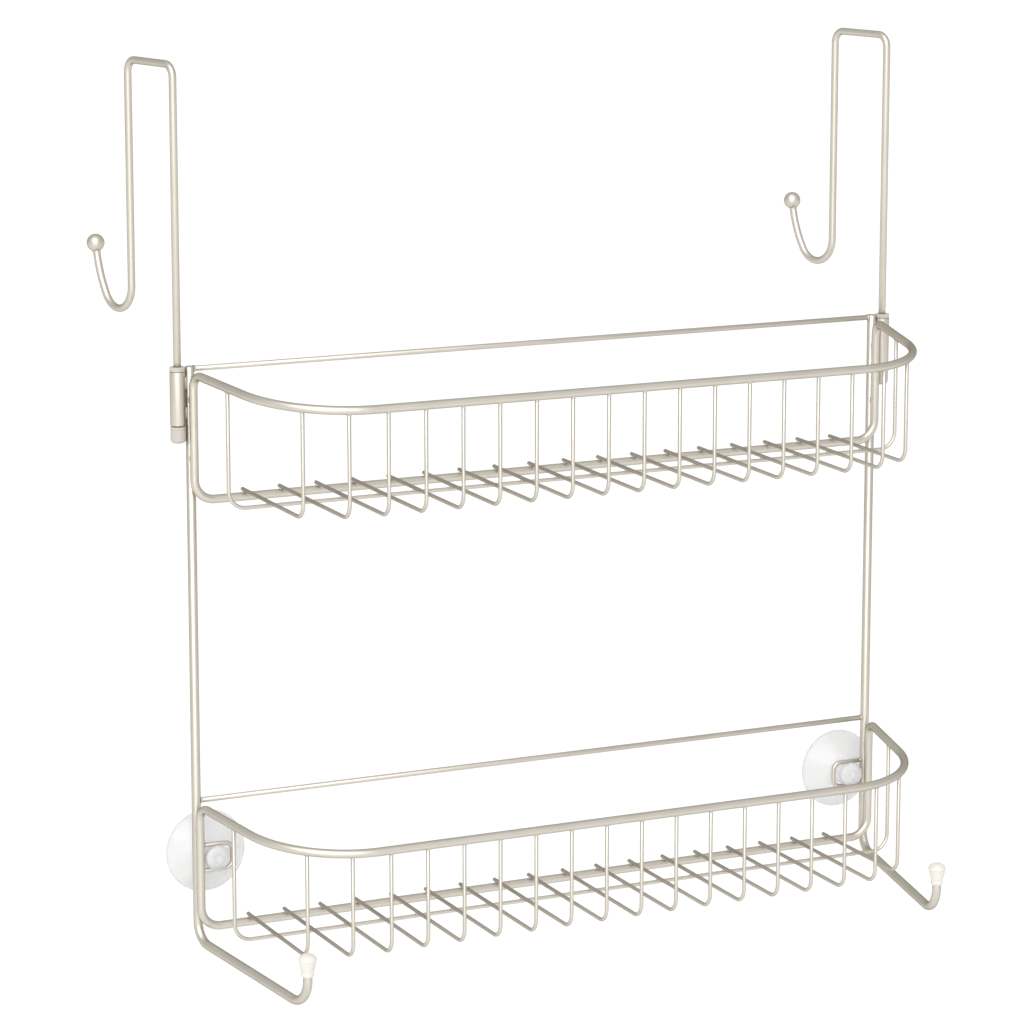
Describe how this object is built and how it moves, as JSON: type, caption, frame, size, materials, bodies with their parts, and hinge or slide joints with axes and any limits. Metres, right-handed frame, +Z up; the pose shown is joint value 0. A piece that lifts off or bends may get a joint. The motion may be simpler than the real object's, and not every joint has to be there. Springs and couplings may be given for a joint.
{
  "type": "over-door shower caddy",
  "caption": "Wire caddy that hangs over a door: two stacked baskets between wire posts, swivelling door hooks with towel hooks, towel arms below, suction cups behind.",
  "frame": {"origin": "on the door's top edge: midway between the two hooks, mid door thickness, level with the underside of the bars that rest on the door", "axes": "+X to the right seen from the baskets, +Y through the door to its far side, +Z up"},
  "size_m": [0.5754, 0.2466, 0.6106],
  "materials": {
    "satin_nickel": "satin nickel-coloured metallic paint on steel wire",
    "grey_nylon": "moulded light grey nylon",
    "white_vinyl": "dipped soft vinyl, off-white, satin",
    "clear_pvc": "clear soft PVC, glossy, slightly milky"
  },
  "bodies": {
    "frame": {"left_post": "satin_nickel", "right_post": "satin_nickel", "upper_crossbar": "satin_nickel", "lower_crossbar": "satin_nickel", "upper_rim": "satin_nickel", "lower_rim": "satin_nickel", "upper_runner": "satin_nickel", "lower_runner": "satin_nickel", "upper_wire_01": "satin_nickel", "upper_wire_02": "satin_nickel", "upper_wire_03": "satin_nickel", "upper_wire_04": "satin_nickel", "upper_wire_05": "satin_nickel", "upper_wire_06": "satin_nickel", "upper_wire_07": "satin_nickel", "upper_wire_08": "satin_nickel", "upper_wire_09": "satin_nickel", "upper_wire_10": "satin_nickel", "upper_wire_11": "satin_nickel", "upper_wire_12": "satin_nickel", "upper_wire_13": "satin_nickel", "upper_wire_14": "satin_nickel", "upper_wire_15": "satin_nickel", "upper_wire_16": "satin_nickel", "upper_wire_17": "satin_nickel", "upper_wire_18": "satin_nickel", "lower_wire_01": "satin_nickel", "lower_wire_02": "satin_nickel", "lower_wire_03": "satin_nickel", "lower_wire_04": "satin_nickel", "lower_wire_05": "satin_nickel", "lower_wire_06": "satin_nickel", "lower_wire_07": "satin_nickel", "lower_wire_08": "satin_nickel", "lower_wire_09": "satin_nickel", "lower_wire_10": "satin_nickel", "lower_wire_11": "satin_nickel", "lower_wire_12": "satin_nickel", "lower_wire_13": "satin_nickel", "lower_wire_14": "satin_nickel", "lower_wire_15": "satin_nickel", "lower_wire_16": "satin_nickel", "lower_wire_17": "satin_nickel", "lower_wire_18": "satin_nickel", "left_sleeve": "satin_nickel", "right_sleeve": "satin_nickel", "left_cup_loop": "satin_nickel", "right_cup_loop": "satin_nickel", "left_liner": "grey_nylon", "right_liner": "grey_nylon", "left_arm_tip": "white_vinyl", "right_arm_tip": "white_vinyl"},
    "left_hook": {"left_door_hook": "satin_nickel", "left_hook_ball": "satin_nickel", "left_end_cap": "grey_nylon"},
    "left_cup": {"left_suction_cup": "clear_pvc"},
    "right_hook": {"right_door_hook": "satin_nickel", "right_hook_ball": "satin_nickel", "right_end_cap": "grey_nylon"},
    "right_cup": {"right_suction_cup": "clear_pvc"}
  },
  "joints": [
    {"name": "left_hook_swivel", "type": "hinge", "parent": "frame", "child": "left_hook", "pos_m": [-0.2711, -0.02641, -0.2003], "axis": [0, 0, 1], "continuous": true},
    {"name": "left_cup_slide", "type": "slide", "parent": "frame", "child": "left_cup", "axis": [1, 0, 0], "range_m": [-0.0012, 0.003]},
    {"name": "right_hook_swivel", "type": "hinge", "parent": "frame", "child": "right_hook", "pos_m": [0.2711, -0.02641, -0.2003], "axis": [0, 0, 1], "continuous": true},
    {"name": "right_cup_slide", "type": "slide", "parent": "frame", "child": "right_cup", "axis": [-1, 0, 0], "range_m": [-0.0012, 0.003]}
  ]
}
